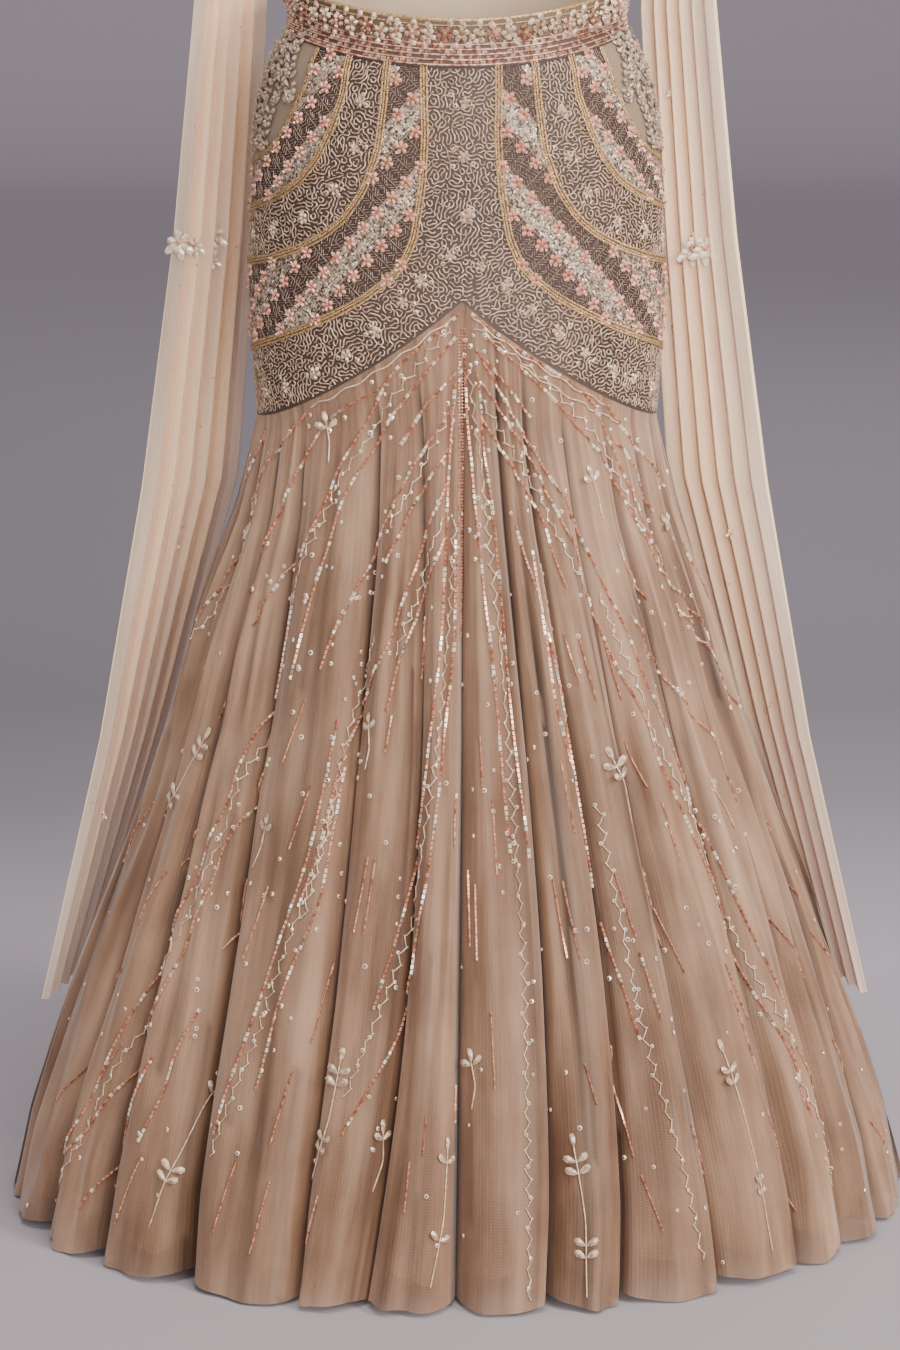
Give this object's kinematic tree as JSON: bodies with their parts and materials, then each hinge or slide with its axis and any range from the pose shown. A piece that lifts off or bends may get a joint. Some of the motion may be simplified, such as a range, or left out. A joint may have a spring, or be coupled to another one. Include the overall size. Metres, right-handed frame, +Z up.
{
  "type": "lehenga choli",
  "caption": "South Asian two-piece dress: flared net skirt on a fitted beaded hip yoke, short sleeveless blouse and sheer shoulder panels, in its worn form.",
  "frame": {"origin": "centre of the wearer's waist, level with the upper part of the waistband", "axes": "+Z up the wearer's body, the front faces -Y, +X to the right seen from the front"},
  "size_m": [0.8046, 0.7356, 1.494],
  "materials": {
    "yoke_cloth": "satin",
    "net_cloth": "satin",
    "lining_cloth": "satin",
    "band_beadwork": "beaded",
    "gold_cord": "metallic",
    "rose_cord": "metallic",
    "choli_cloth": "satin",
    "sheer_net": "satin"
  },
  "bodies": {
    "root": {"waistband_front": "band_beadwork", "waist_cords_front": "rose_cord", "waist_piping_front": "gold_cord", "yoke_front": "yoke_cloth", "flare_front": "net_cloth", "lining_front": "lining_cloth", "choli_front": "choli_cloth", "cord_inner_front_left": "gold_cord", "cord_inner_front_right": "gold_cord", "cord_middle_front_left": "gold_cord", "cord_middle_front_right": "gold_cord", "cord_outer_front_left": "gold_cord", "cord_outer_front_right": "gold_cord", "waistband_back": "band_beadwork", "waist_cords_back": "rose_cord", "waist_piping_back": "gold_cord", "yoke_back": "yoke_cloth", "flare_back": "net_cloth", "lining_back": "lining_cloth", "choli_back": "choli_cloth", "cord_inner_back_left": "gold_cord", "cord_inner_back_right": "gold_cord", "cord_middle_back_left": "gold_cord", "cord_middle_back_right": "gold_cord", "cord_outer_back_left": "gold_cord", "cord_outer_back_right": "gold_cord", "cape_left": "sheer_net", "cape_right": "sheer_net"}
  },
  "joints": []
}
